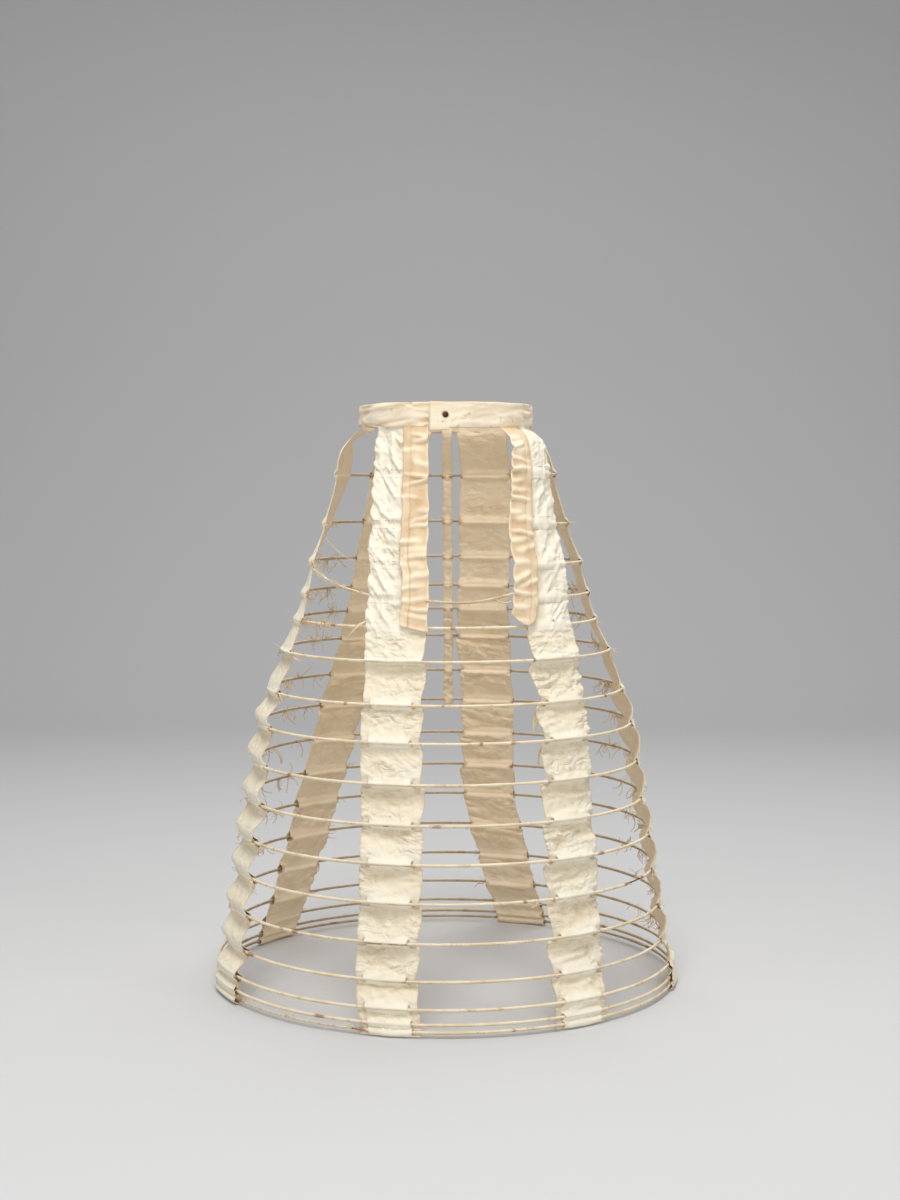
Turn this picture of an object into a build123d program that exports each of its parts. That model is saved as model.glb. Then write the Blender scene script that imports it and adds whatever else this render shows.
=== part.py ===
from build123d import *
import math
import os

# A child's cage crinoline, hung from its waistband. Millimetres. The origin is the centre of the waistband
# ring, +Z is up and -Y is the wearer's front. Angles are in degrees from the front, growing towards +X.

# Waistband: a doubled cotton strip whose right end laps over its left end in front
WAIST_RADIUS = 96.6
BAND_HEIGHT = 29
BAND_THICKNESS = 2.6
LAP_LEFT = 17
LAP_RIGHT = 24
LAP_CLEARANCE = 0.3
LAP_FOLD = 4
LAP_GAP = 3

# Waist stud: a rusted two-headed stud through both layers of the lap
STUD_HEAD_DIAMETER = 6.4
STUD_HEAD_THICKNESS = 1.2
STUD_SHANK_DIAMETER = 2.6
STUD_DOME_SHARE = 0.55
STUD_CLEARANCE = 0.15

# Cage outline: how far the lowest hoop hangs below the waistband, and how wide it is
CAGE_DROP = 616.9
HEM_RADIUS = 261
HOOP_DROP_SHARES = (
    0.080, 0.169, 0.239, 0.296, 0.344, 0.400, 0.472, 0.534, 0.602,
    0.669, 0.732, 0.796, 0.860, 0.921, 0.964, 0.988, 1.0,
)
HOOP_SPREAD_SHARES = (
    0.167, 0.252, 0.346, 0.398, 0.450, 0.547, 0.629, 0.696, 0.738,
    0.775, 0.830, 0.856, 0.903, 0.929, 0.985, 0.994, 1.0,
)

# Hoops: spring-steel wire in a braided cotton cover
WIRE_DIAMETER = 1.4
COVER_DIAMETER = 3.4
WIRE_CLEARANCE = 0.3

# Tapes: double-woven cotton with a pocket at each hoop
TAPE_WIDTH = 66
BACK_STRIP_WIDTH = 12
TAPE_CLOTH = 0.6
POCKET_CLEARANCE = 0.3
WEB_SAG_SHARE = 0.1
TOP_RUN_SHARE = 0.05
TAPE_STATIONS = (1, 6, 11, 17)
TAPE_ANGLES = {
    "front_left_tape": (-31, -23, -17.3, -14, -12),
    "front_right_tape": (62, 51, 38.6, 34.6, 32.8),
    "side_left_tape": (-104, -100, -78, -71.5, -66.4),
    "side_right_tape": (104, 98, 93, 83, 79.5),
    "back_left_tape": (-150, -149, -146.5, -136, -126),
    "back_right_tape": (152, 156, 165, 166, 158),
    "centre_back_tape": (179, 179, 179, 179, 179),
}
TAPE_SWEEP = 110

# Plackets: beige strips that face the front opening
PLACKET_WIDTH = 28
PLACKET_THICKNESS = 1.0
PLACKET_CLEARANCE = 0.4
LEFT_PLACKET_SAG_SHARE = -0.005
RIGHT_PLACKET_SAG_SHARE = 0.03
PLACKET_LAST_HOOP = 5
LEFT_PLACKET_OVERHANG = 1
RIGHT_PLACKET_OVERHANG = 15

# Damage: which hoops end in the side pockets, where the fifth is broken, and where covers are lost
OPEN_HOOPS = (1, 2, 3, 4)
BROKEN_HOOP = 5
BREAK_ANGLES = (-50, -46)
BARE_ANGLES = {12: (56, 63.5), 17: (-57, -21)}
POCKET_END_SHARE = 0.6

# Loose remains of the third and fourth hoops, each held at both ends
THREAD_DIAMETER = 0.8
THREAD_ROUTE = ((-137.5, -30.4, -132), (-123, -59, -147), (-105, -88, -157.5), (-79.05, -125.8, -163.6))
BRAID_DIAMETER = 2.4
BRAID_ROUTE = ((-147.4, -44.4, -169.8), (-132, -67, -180), (-109, -101, -188.5), (-81, -139, -193.5))
EMPTY_COVER_DIAMETER = 2.8
EMPTY_COVER_ROUTE = ((-21.3, -166, -198), (11, -159, -201.5), (42, -153.5, -199.5), (73.5, -149.6, -190.8))
LARGEST_ARC_SHARE = 0.45

OVERRUN = 20

COVER_RADIUS = COVER_DIAMETER / 2
POCKET_RADIUS = COVER_RADIUS + POCKET_CLEARANCE
BEAD_RADIUS = POCKET_RADIUS + TAPE_CLOTH
WEB = 2 * TAPE_CLOTH
BAND_LOW = -BAND_HEIGHT / 2
HOOP_COUNT = len(HOOP_DROP_SHARES)


def hoop_z(number):
    return BAND_LOW - CAGE_DROP * HOOP_DROP_SHARES[number - 1]


def hoop_radius(number):
    return WAIST_RADIUS + (HEM_RADIUS - WAIST_RADIUS) * HOOP_SPREAD_SHARES[number - 1]


def between(value, lows, highs):
    """The value on a broken line through (low, high) pairs, whose lows fall."""
    for k in range(len(lows) - 1):
        if value >= lows[k + 1]:
            break
    part = (lows[k] - value) / (lows[k] - lows[k + 1])
    return highs[k] + part * (highs[k + 1] - highs[k])


def cage_radius(z):
    """The cage's outline radius at a height."""
    hoops = range(1, HOOP_COUNT + 1)
    heights = [BAND_LOW] + [hoop_z(n) for n in hoops]
    radii = [WAIST_RADIUS] + [hoop_radius(n) for n in hoops]
    return between(z, heights, radii)


def tape_angle(tape, z):
    """The angle of a tape's middle line at a height."""
    heights = [BAND_LOW] + [hoop_z(n) for n in TAPE_STATIONS]
    return between(z, heights, TAPE_ANGLES[tape])


def half_angle(width, radius):
    return math.degrees(width / 2 / radius)


def round_z(shape, start):
    """Turns a shape that was swept from +X so that its sweep starts at an angle from the front."""
    return Rot(0, 0, start - 90) * shape


def hoop_section(number, radius):
    return Pos(hoop_radius(number), hoop_z(number)) * Circle(radius)


def swept(section, start, end):
    """A section in radius and height, swept round the cage's axis between two angles."""
    return round_z(revolve(Plane.XZ * section, Axis.Z, end - start), start)


def strip_cutter(edges):
    """A prism that keeps a strip of the cage, from edge angles at falling heights."""
    heights = [z for z, low, high in edges]
    middle = (min(low for z, low, high in edges) + max(high for z, low, high in edges)) / 2

    def across(z, angle):
        return cage_radius(z) * math.sin(math.radians(angle - middle))

    lows = [(across(z, low), z) for z, low, high in edges]
    highs = [(across(z, high), z) for z, low, high in edges]
    above = heights[0] + OVERRUN
    below = heights[-1] - OVERRUN
    outline = [(lows[0][0], above)] + lows + [(lows[-1][0], below)]
    outline += [(highs[-1][0], below)] + highs[::-1] + [(highs[0][0], above)]
    turn = math.radians(middle)
    face = Plane(
        (0, 0, 0),
        x_dir=(math.cos(turn), math.sin(turn), 0),
        z_dir=(math.sin(turn), -math.cos(turn), 0),
    )
    return extrude(face * make_face(Polyline(outline, close=True)), HEM_RADIUS + OVERRUN), middle


def web_section(points, thickness, sag_share):
    """A strip of cloth through points in radius and height, which sags inwards between them.

    Its first run goes on past its first point, so that the cut at the waistband is a clean one.
    """
    section = Sketch()
    for (r0, z0), (r1, z1) in zip(points, points[1:]):
        sag = sag_share * math.hypot(r1 - r0, z1 - z0)
        arc = ThreePointArc((r0, z0), ((r0 + r1) / 2 - sag, (z0 + z1) / 2), (r1, z1))
        if (r0, z0) == points[0]:
            arc = ThreePointArc(arc @ -TOP_RUN_SHARE, arc @ 0.5, arc @ 1)
        section += SlotArc(arc, thickness)
    above = Pos(WAIST_RADIUS, BAND_LOW) * Rectangle(WAIST_RADIUS, OVERRUN, align=(Align.CENTER, Align.MIN))
    return section - above


def tape_points(hoops, empty):
    """The points a tape goes through: the waistband, its empty pockets and its hoops."""
    first = hoops[0]
    points = [(WAIST_RADIUS - BAND_THICKNESS / 4, BAND_LOW)]
    for n in empty:
        part = (BAND_LOW - hoop_z(n)) / (BAND_LOW - hoop_z(first))
        points.append((WAIST_RADIUS + part * (hoop_radius(first) - WAIST_RADIUS), hoop_z(n)))
    return points + [(hoop_radius(n), hoop_z(n)) for n in hoops]


def tape(name, width, hoops, empty=()):
    """A tape with a pocket at each of its hoops."""
    section = web_section(tape_points(hoops, empty), WEB, WEB_SAG_SHARE)
    section += [hoop_section(n, BEAD_RADIUS) for n in hoops]
    section -= [hoop_section(n, POCKET_RADIUS) for n in hoops]
    edges = []
    stations = [n for n in TAPE_STATIONS if n < hoops[-1]] + [hoops[-1]]
    for z in [BAND_LOW] + [hoop_z(n) for n in stations]:
        middle = tape_angle(name, z)
        half = half_angle(width, cage_radius(z))
        edges.append((z, middle - half, middle + half))
    cutter, turn = strip_cutter(edges)
    return swept(section, turn - TAPE_SWEEP / 2, turn + TAPE_SWEEP / 2) & cutter


def lifted(points, distance):
    """Points moved outwards, square to the line through their neighbours."""
    moved = []
    last = len(points) - 1
    for k in range(len(points)):
        (r0, z0), (r1, z1) = points[max(k - 1, 0)], points[min(k + 1, last)]
        slope = math.atan2(r1 - r0, z0 - z1)
        r, z = points[k]
        moved.append((r + distance * math.cos(slope), z + distance * math.sin(slope)))
    return moved


def placket(tape_name, side, overhang, sag_share, hoops):
    """A strip over the inner edge of a front tape: side is +1 for its higher-angle edge, -1 for the other."""
    top = (WAIST_RADIUS + BAND_THICKNESS / 2 - PLACKET_THICKNESS / 2, BAND_LOW)
    distance = BEAD_RADIUS + PLACKET_CLEARANCE + PLACKET_THICKNESS / 2
    points = [top] + lifted(tape_points(hoops, ()), distance)[1:]
    edges = []
    for z in (BAND_LOW, hoop_z(TAPE_STATIONS[0]), hoop_z(PLACKET_LAST_HOOP)):
        radius = cage_radius(z)
        outer = tape_angle(tape_name, z) + side * half_angle(TAPE_WIDTH + 2 * overhang, radius)
        inner = outer - side * 2 * half_angle(PLACKET_WIDTH, radius)
        edges.append((z, min(outer, inner), max(outer, inner)))
    cutter, turn = strip_cutter(edges)
    section = web_section(points, PLACKET_THICKNESS, sag_share)
    lower = Rectangle(HEM_RADIUS, OVERRUN, align=(Align.MIN, Align.MAX))
    section -= Pos(0, points[-1][1] + PLACKET_THICKNESS) * lower
    return swept(section, turn - TAPE_SWEEP / 2, turn + TAPE_SWEEP / 2) & cutter


def hoop_ends(number):
    """The angles between which a hoop's wire runs."""
    if number in OPEN_HOOPS:
        reach = POCKET_END_SHARE * half_angle(TAPE_WIDTH, hoop_radius(number))
        start = tape_angle("front_right_tape", hoop_z(number)) - reach
        return start, 360 + tape_angle("side_left_tape", hoop_z(number)) + reach
    if number == BROKEN_HOOP:
        return BREAK_ANGLES[1], 360 + BREAK_ANGLES[0]
    return 0, 360


def cover_ends(number):
    """The angles between which a hoop's cover is left."""
    if number in BARE_ANGLES:
        low, high = BARE_ANGLES[number]
        return high, 360 + low
    return hoop_ends(number)


def waistband():
    """The band: a ring with its right end folded out over its left end."""
    middle = BAND_THICKNESS / 2
    inner = WAIST_RADIUS - middle
    outer = WAIST_RADIUS + middle
    lap_inner = outer + LAP_CLEARANCE
    lap_outer = lap_inner + BAND_THICKNESS
    front = -WAIST_RADIUS
    ring = Circle(outer) - Circle(inner)
    opening = Pos(LAP_RIGHT, front) * Rectangle(LAP_GAP, WAIST_RADIUS, align=(Align.MIN, Align.CENTER))
    lap_width = LAP_LEFT + LAP_RIGHT + LAP_GAP + LAP_FOLD
    lap_place = Pos(-LAP_LEFT, front) * Rectangle(lap_width, WAIST_RADIUS, align=(Align.MIN, Align.CENTER))
    fold_place = Pos(LAP_RIGHT + LAP_GAP, front)
    fold_place *= Rectangle(LAP_FOLD, WAIST_RADIUS, align=(Align.MIN, Align.CENTER))
    lap = (Circle(lap_outer) - Circle(lap_inner)) & lap_place
    fold = (Circle(lap_outer) - Circle(inner)) & fold_place
    band = Pos(0, 0, BAND_LOW) * extrude(ring - opening + lap + fold, BAND_HEIGHT)
    hole = Cylinder(STUD_SHANK_DIAMETER / 2 + STUD_CLEARANCE, WAIST_RADIUS)
    return band - Pos(0, front, 0) * Rot(90, 0, 0) * hole


def waist_stud():
    """The stud: a shank through both layers, with a domed head outside and a flat one inside."""
    inner = WAIST_RADIUS - BAND_THICKNESS / 2 - STUD_CLEARANCE
    outer = WAIST_RADIUS + BAND_THICKNESS * 3 / 2 + LAP_CLEARANCE + STUD_CLEARANCE
    head = STUD_HEAD_DIAMETER / 2
    shank = STUD_SHANK_DIAMETER / 2
    back = inner - STUD_HEAD_THICKNESS
    top = outer + STUD_HEAD_THICKNESS
    outline = [(0, back), (head, back), (head, inner), (shank, inner), (shank, outer)]
    outline += [(head, outer), (head * STUD_DOME_SHARE, top), (0, top)]
    section = make_face(Polyline(outline, close=True))
    return Rot(90, 0, 0) * revolve(Plane.XZ * section, Axis.Z)


def loose_end(name, route, diameter):
    """A loose remnant along its route, with arcs as large as its runs allow."""
    points = [Vector(*p) for p in route]
    runs = [b - a for a, b in zip(points, points[1:])]
    radii = []
    for before, after in zip(runs, runs[1:]):
        half_turn = math.radians(before.get_angle(after) / 2)
        radii.append(LARGEST_ARC_SHARE * min(before.length, after.length) / math.tan(half_turn))
    path = FilletPolyline(*points, radius=radii)
    tube = sweep(Plane(path @ 0, z_dir=path % 0) * Circle(diameter / 2), path)
    even = tube.volume / (math.pi * diameter**2 / 4 * path.length)
    print(name, "radii", [round(r) for r in radii], "length", round(path.length, 1), "share", round(even, 3))
    return tube


def build():
    """Every piece of the cage by its node name."""
    every_hoop = tuple(range(1, HOOP_COUNT + 1))
    pieces = {"waistband": waistband(), "waist_stud": waist_stud()}
    for n in every_hoop:
        start, end = hoop_ends(n)
        pieces[f"hoop_{n:02d}_wire"] = swept(hoop_section(n, WIRE_DIAMETER / 2), start, end)
        start, end = cover_ends(n)
        sleeve = hoop_section(n, COVER_RADIUS) - hoop_section(n, WIRE_DIAMETER / 2 + WIRE_CLEARANCE)
        pieces[f"hoop_{n:02d}_cover"] = swept(sleeve, start, end)
    for name in TAPE_ANGLES:
        if name == "front_left_tape":
            pieces[name] = tape(name, TAPE_WIDTH, every_hoop[len(OPEN_HOOPS):], OPEN_HOOPS)
        elif name == "centre_back_tape":
            pieces[name] = tape(name, BACK_STRIP_WIDTH, every_hoop[:8])
        else:
            pieces[name] = tape(name, TAPE_WIDTH, every_hoop)
    upper = every_hoop[:PLACKET_LAST_HOOP]
    left_sag = LEFT_PLACKET_SAG_SHARE
    right_sag = RIGHT_PLACKET_SAG_SHARE
    pieces["left_placket"] = placket("front_left_tape", 1, LEFT_PLACKET_OVERHANG, left_sag, upper[-1:])
    pieces["right_placket"] = placket("front_right_tape", -1, RIGHT_PLACKET_OVERHANG, right_sag, upper)
    for name, route, diameter in (
        ("hoop_03_loose_thread", THREAD_ROUTE, THREAD_DIAMETER),
        ("hoop_04_loose_braid", BRAID_ROUTE, BRAID_DIAMETER),
        ("hoop_04_empty_cover", EMPTY_COVER_ROUTE, EMPTY_COVER_DIAMETER),
    ):
        pieces[name] = loose_end(name, route, diameter)
    return pieces


os.makedirs("parts", exist_ok=True)
for node, shape in build().items():
    shape.label = node
    export_step(shape, f"parts/{node}.step")
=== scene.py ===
import math

import bpy
import numpy as np
from mathutils import Matrix, Vector


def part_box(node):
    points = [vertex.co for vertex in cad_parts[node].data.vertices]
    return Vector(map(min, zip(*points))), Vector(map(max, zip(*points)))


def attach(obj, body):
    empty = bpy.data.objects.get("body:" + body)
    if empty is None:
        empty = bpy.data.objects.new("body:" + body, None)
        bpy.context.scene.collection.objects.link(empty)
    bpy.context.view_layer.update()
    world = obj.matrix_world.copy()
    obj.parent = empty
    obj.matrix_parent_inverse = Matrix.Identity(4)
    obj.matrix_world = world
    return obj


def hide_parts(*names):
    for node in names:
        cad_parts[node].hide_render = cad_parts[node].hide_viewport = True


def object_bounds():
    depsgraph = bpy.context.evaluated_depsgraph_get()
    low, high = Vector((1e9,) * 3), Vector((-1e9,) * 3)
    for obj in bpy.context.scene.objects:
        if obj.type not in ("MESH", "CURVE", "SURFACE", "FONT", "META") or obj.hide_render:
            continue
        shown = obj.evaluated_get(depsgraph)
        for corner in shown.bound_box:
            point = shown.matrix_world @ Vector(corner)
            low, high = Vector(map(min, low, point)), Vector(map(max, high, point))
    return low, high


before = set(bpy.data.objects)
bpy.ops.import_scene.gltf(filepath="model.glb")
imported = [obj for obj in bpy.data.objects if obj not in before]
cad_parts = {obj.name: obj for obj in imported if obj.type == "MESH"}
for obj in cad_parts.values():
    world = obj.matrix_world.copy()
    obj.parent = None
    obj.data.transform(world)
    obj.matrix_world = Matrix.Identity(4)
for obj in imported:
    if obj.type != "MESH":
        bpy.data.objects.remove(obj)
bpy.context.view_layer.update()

# The cage's own measures, in metres, with angles in degrees from the front towards +X
COVER_RADIUS = 0.0017
HOOPS = tuple(range(1, 18))
HEM_HOOP = HOOPS[-1]
BAND_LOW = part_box("waistband")[0][2]
BAND_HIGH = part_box("waistband")[1][2]
BAND_THICKNESS = 0.0026
BAND_ENDS = (12.0, -370.0)
WAIST_RADIUS = 0.0966
TAPE_WIDTH = 0.066
BACK_STRIP_WIDTH = 0.012
PLACKET_WIDTH = 0.028
TAPE_STATIONS = (1, 6, 11, 14, 17)
TAPE_ANGLES = {
    "front_left_tape": (-31, -26.5, -17.3, -14.4, -14.6, -12.4),
    "front_right_tape": (62, 52, 40.4, 35.8, 34.2, 33),
    "side_left_tape": (-104, -100, -78, -71.5, -67.9, -66.4),
    "side_right_tape": (104, 98, 93, 83, 80.5, 79.5),
    "back_left_tape": (-150, -149, -146.5, -136, -129, -126),
    "back_right_tape": (152, 156, 165, 166, 160.4, 158),
    "centre_back_tape": (179, 179, 179, 179, 179, 179),
}
OPEN_HOOPS = (1, 2, 3, 4)
BREAK_ANGLES = (-50, -46)
BARE_ANGLES = {12: (56, 63.5), 17: (-57, -21)}


def hoop_measures(number):
    low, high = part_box(f"hoop_{number:02d}_cover")
    return (high[0] - low[0]) / 2 - COVER_RADIUS, (low[2] + high[2]) / 2


RADIUS = {n: hoop_measures(n)[0] for n in HOOPS}
HEIGHT = {n: hoop_measures(n)[1] for n in HOOPS}


def down(z, levels, values):
    """Values at height z, between those given at falling levels."""
    return np.interp(-np.asarray(z), -np.asarray(levels), values)


def cage_radius(z):
    levels = [BAND_LOW] + [HEIGHT[n] for n in HOOPS]
    return down(z, levels, [WAIST_RADIUS] + [RADIUS[n] for n in HOOPS])


def tape_angle(name, z):
    return float(down(z, [BAND_LOW] + [HEIGHT[n] for n in TAPE_STATIONS], TAPE_ANGLES[name]))


def half_angle(width, radius):
    return math.degrees(width / 2 / radius)


def smooth(low, high, value):
    part = np.clip((np.asarray(value) - low) / (high - low), 0, 1)
    return part * part * (3 - 2 * part)


def bell(away, width):
    return np.exp(-((away / width) ** 2))


def noise(x, y, seed):
    """Smooth noise from -1 to 1 over two coordinates."""
    cells = 61
    table = np.random.default_rng(seed).random((cells, cells)) * 2 - 1
    x, y = np.broadcast_arrays(np.asarray(x, float), np.asarray(y, float))
    left, low = np.floor(x).astype(int), np.floor(y).astype(int)
    fx, fy = x - left, y - low
    fx, fy = fx * fx * (3 - 2 * fx), fy * fy * (3 - 2 * fy)

    def corner(dx, dy):
        return table[(left + dx) % cells, (low + dy) % cells]

    near = corner(0, 0) * (1 - fx) + corner(1, 0) * fx
    far = corner(0, 1) * (1 - fx) + corner(1, 1) * fx
    return near * (1 - fy) + far * fy


def creases(across, along, seed, count, area, tilt, spread, length, width, depth):
    """The heights of a set of soft creases; area is (low across, high across, low along, high along)."""
    rng = np.random.default_rng(seed)
    total = np.zeros_like(across)
    for _ in range(count):
        middle = rng.uniform(area[0], area[1]), rng.uniform(area[2], area[3])
        angle = math.radians(tilt + rng.normal(0, spread))
        reach = length * rng.uniform(0.5, 1.4)
        wide = width * rng.uniform(0.6, 1.5)
        high = depth * rng.uniform(0.35, 1.0) * (1 if rng.random() < 0.7 else -1)
        bend = rng.normal(0, 6)
        p = (across - middle[0]) * math.cos(angle) + (along - middle[1]) * math.sin(angle)
        q = (along - middle[1]) * math.cos(angle) - (across - middle[0]) * math.sin(angle) + bend * p * p
        fade = np.clip(1 - (p / reach) ** 2, 0, 1) ** 1.5
        total += high * fade * (bell(q, wide) - 0.55 * bell(q - 1.5 * wide, wide))
    return total


def ridged(across, along, tilt, long, wide, seed):
    """Sharp folds from 0 to 1 that run along a tilted direction."""
    angle = math.radians(tilt)
    p = (across * math.cos(angle) + along * math.sin(angle)) / long
    q = (along * math.cos(angle) - across * math.sin(angle)) / wide
    return (1 - np.abs(noise(p + 0.3 * noise(q, p, seed + 1), q + 0.5 * noise(p, q, seed + 2), seed))) ** 2


def linked(name, data):
    """A new object in the scene."""
    obj = bpy.data.objects.new(name, data)
    bpy.context.scene.collection.objects.link(obj)
    return obj


# Camera
camera = linked("camera", bpy.data.cameras.new("camera"))
camera.data.sensor_fit = "VERTICAL"
camera.data.sensor_height = 36
camera.data.lens = 55.55
camera.data.clip_start = 0.05
camera.location = (0.0002, -2.1097, -0.0839)
camera.rotation_euler = (math.radians(90 - 3.333), 0, -0.00232)
bpy.context.scene.camera = camera


class Socket:
    """An output of a node that can stand in a sum. Other nodes come from its node method."""

    def __init__(self, tree, output=None):
        self.tree = tree
        self.output = output

    def feed(self, socket, value):
        if isinstance(value, Socket):
            self.tree.links.new(value.output, socket)
        else:
            socket.default_value = value

    def node(self, kind, output, inputs=(), **settings):
        made = self.tree.nodes.new(kind)
        for key, value in settings.items():
            setattr(made, key, value)
        for key, value in dict(inputs).items():
            self.feed(made.inputs[key], value)
        return Socket(self.tree, made.outputs[output])

    def attribute(self, name):
        return self.node("ShaderNodeAttribute", "Fac", attribute_name=name)

    def sum(self, operation, first, second):
        return self.node("ShaderNodeMath", 0, {0: first, 1: second}, operation=operation)

    def __add__(self, other):
        return self.sum("ADD", self, other)

    def __radd__(self, other):
        return self.sum("ADD", other, self)

    def __sub__(self, other):
        return self.sum("SUBTRACT", self, other)

    def __rsub__(self, other):
        return self.sum("SUBTRACT", other, self)

    def __mul__(self, other):
        return self.sum("MULTIPLY", self, other)

    def __rmul__(self, other):
        return self.sum("MULTIPLY", other, self)

    def sine(self):
        return self.node("ShaderNodeMath", 0, {0: self}, operation="SINE")

    def between(self, low, high):
        """0 below low, 1 above high, smooth between them."""
        inputs = {"Value": self, "From Min": low, "From Max": high, "To Min": 0.0, "To Max": 1.0}
        return self.node("ShaderNodeMapRange", 0, inputs, interpolation_type="SMOOTHSTEP")


def linear(red, green, blue):
    """A colour written as it looks on screen, from 0 to 255."""
    def channel(value):
        value = value / 255
        return value / 12.92 if value <= 0.04045 else ((value + 0.055) / 1.055) ** 2.4
    return channel(red), channel(green), channel(blue), 1.0


RUST = linear(112, 66, 34)
DEEP_RUST = linear(58, 36, 24)
BRIGHT_RUST = linear(150, 96, 52)
OLD_STAIN = linear(158, 112, 66)
# Painted shade for the hoop sleeves' side that faces into the cage
INNER_SLEEVE_SHADE = linear(146, 120, 90)


def blank(name):
    material = bpy.data.materials.new(name)
    material.use_nodes = True
    tree = material.node_tree
    return material, Socket(tree), tree.nodes["Principled BSDF"]


def mix(base, factor, first, second):
    return base.node("ShaderNodeMix", 2, {0: factor, 6: first, 7: second}, data_type="RGBA")


def speckle(base, where, scale, detail=3.0):
    inputs = {"Vector": where, "Scale": scale, "Detail": detail, "Roughness": 0.6}
    return base.node("ShaderNodeTexNoise", "Fac", inputs)


def surface(base, shader, colour, roughness, height, strength, relief):
    bump = base.node("ShaderNodeBump", "Normal", {"Height": height, "Strength": strength, "Distance": relief})
    base.feed(shader.inputs["Base Color"], colour)
    base.feed(shader.inputs["Roughness"], roughness)
    base.feed(shader.inputs["Normal"], bump)


def crushed(base, flat):
    """The heights of crushed cloth: sharp small facets, wider across than they are high."""
    drift = base.node("ShaderNodeTexNoise", "Color", {"Vector": flat, "Scale": 70.0, "Detail": 2.0})
    spread = base.node("ShaderNodeVectorMath", 0, {0: drift, 1: (0.016, 0.016, 0.0)}, operation="MULTIPLY")
    where = base.node("ShaderNodeVectorMath", 0, {0: flat, 1: spread}, operation="ADD")
    total = 0.0
    for scale, weight in (((50.0, 125.0, 1.0), 24.0), ((110.0, 240.0, 1.0), 10.0)):
        cells = base.node("ShaderNodeVectorMath", 0, {0: where, 1: scale}, operation="MULTIPLY")
        facets = base.node("ShaderNodeTexVoronoi", "Distance", {"Vector": cells, "Scale": 1.0},
                           feature="DISTANCE_TO_EDGE", voronoi_dimensions="2D")
        total = facets * weight + total
    return total


def cotton(name, pale, aged_and_shade, inside, weave, rib, relief):
    """Old cotton cloth: mottled, with painted shade in its hollows and on its inner side, rust-stained where
    the mesh says so.
    """
    material, base, shader = blank(name)
    place = base.node("ShaderNodeTexCoord", "Object")
    flat = base.node("ShaderNodeTexCoord", "UV")
    broad = speckle(base, place, 26.0).between(0.42, 0.68)
    fine = speckle(base, place, 240.0)
    colour = mix(base, broad * 0.28, pale, aged_and_shade)
    # painted shade: folds and sagging panels are darkened towards the aged tone
    colour = mix(base, base.attribute("painted_shade") * (0.75 + 0.4 * fine), colour, aged_and_shade)
    # painted shade: the inner side is mixed towards the darker inside colour
    colour = mix(base, base.attribute("inner"), colour, inside)
    spots = speckle(base, place, 420.0, 4.0).between(0.66, 0.74)
    spots = spots * speckle(base, place, 31.0).between(0.45, 0.6)
    colour = mix(base, spots * 0.55, colour, RUST)
    patch = (base.attribute("stain") * 1.5 + fine * 0.8 - 0.55).between(0.1, 0.85)
    colour = mix(base, patch * 0.8, colour, OLD_STAIN)
    threads = base.node("ShaderNodeTexWave", "Fac", {"Vector": flat, "Scale": weave, "Distortion": 0.6},
                        wave_type="BANDS", bands_direction=rib)
    height = threads * 0.5 + speckle(base, flat, 900.0, 2.0) * 0.5 + speckle(base, place, 130.0) * 1.2
    height = height + base.attribute("crinkle") * crushed(base, flat)
    surface(base, shader, colour, 0.82 + 0.12 * fine, height, 0.45, relief)
    shader.inputs["Sheen Weight"].default_value = 0.12
    shader.inputs["Sheen Roughness"].default_value = 0.5
    shader.inputs["Specular IOR Level"].default_value = 0.25
    return material


def braided(name, pale, aged_and_shade):
    """A braided sleeve: slanting threads both ways round, brown specks and stains, with painted shade in the
    plait's low grooves and on the side that faces into the cage.
    """
    material, base, shader = blank(name)
    place = base.node("ShaderNodeTexCoord", "Object")
    around = base.node("ShaderNodeSeparateXYZ", 0, {"Vector": base.node("ShaderNodeTexCoord", "UV")})
    along = Socket(base.tree, around.output.node.outputs[1])
    pitch, turns = along * 1050.0, around * (4 * math.pi)
    plait = (pitch + turns).sine() * (pitch - turns).sine()
    broad = speckle(base, place, 34.0).between(0.4, 0.66)
    fine = speckle(base, place, 330.0, 4.0)
    colour = mix(base, broad * 0.7, pale, aged_and_shade)
    # painted shade: the plait's low grooves are darkened towards the aged tone
    colour = mix(base, (0.0 - plait).between(0.1, 1.0) * 0.35, colour, aged_and_shade)
    colour = mix(base, fine.between(0.64, 0.74) * 0.55, colour, RUST)
    patch = (base.attribute("stain") * 1.3 + fine * 0.9 - 0.6).between(0.15, 0.9)
    colour = mix(base, patch * 0.8, colour, OLD_STAIN)
    # painted shade: the side that faces into the cage is darkened
    colour = mix(base, base.attribute("inner") * (0.5 + 0.4 * fine), colour, INNER_SLEEVE_SHADE)
    surface(base, shader, colour, 0.75 + 0.2 * fine, plait * 0.7 + fine * 0.8, 0.6, 0.0004)
    shader.inputs["Specular IOR Level"].default_value = 0.25
    return material


def rusted(name):
    material, base, shader = blank(name)
    place = base.node("ShaderNodeTexCoord", "Object")
    broad = speckle(base, place, 160.0, 4.0)
    fine = speckle(base, place, 900.0, 4.0)
    colour = mix(base, broad.between(0.35, 0.65), DEEP_RUST, RUST)
    colour = mix(base, fine.between(0.6, 0.75) * 0.5, colour, BRIGHT_RUST)
    surface(base, shader, colour, 0.6 + 0.3 * fine, broad * 0.6 + fine * 0.4, 0.8, 0.0002)
    base.feed(shader.inputs["Metallic"], 0.55 - 0.5 * broad)
    return material


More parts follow.
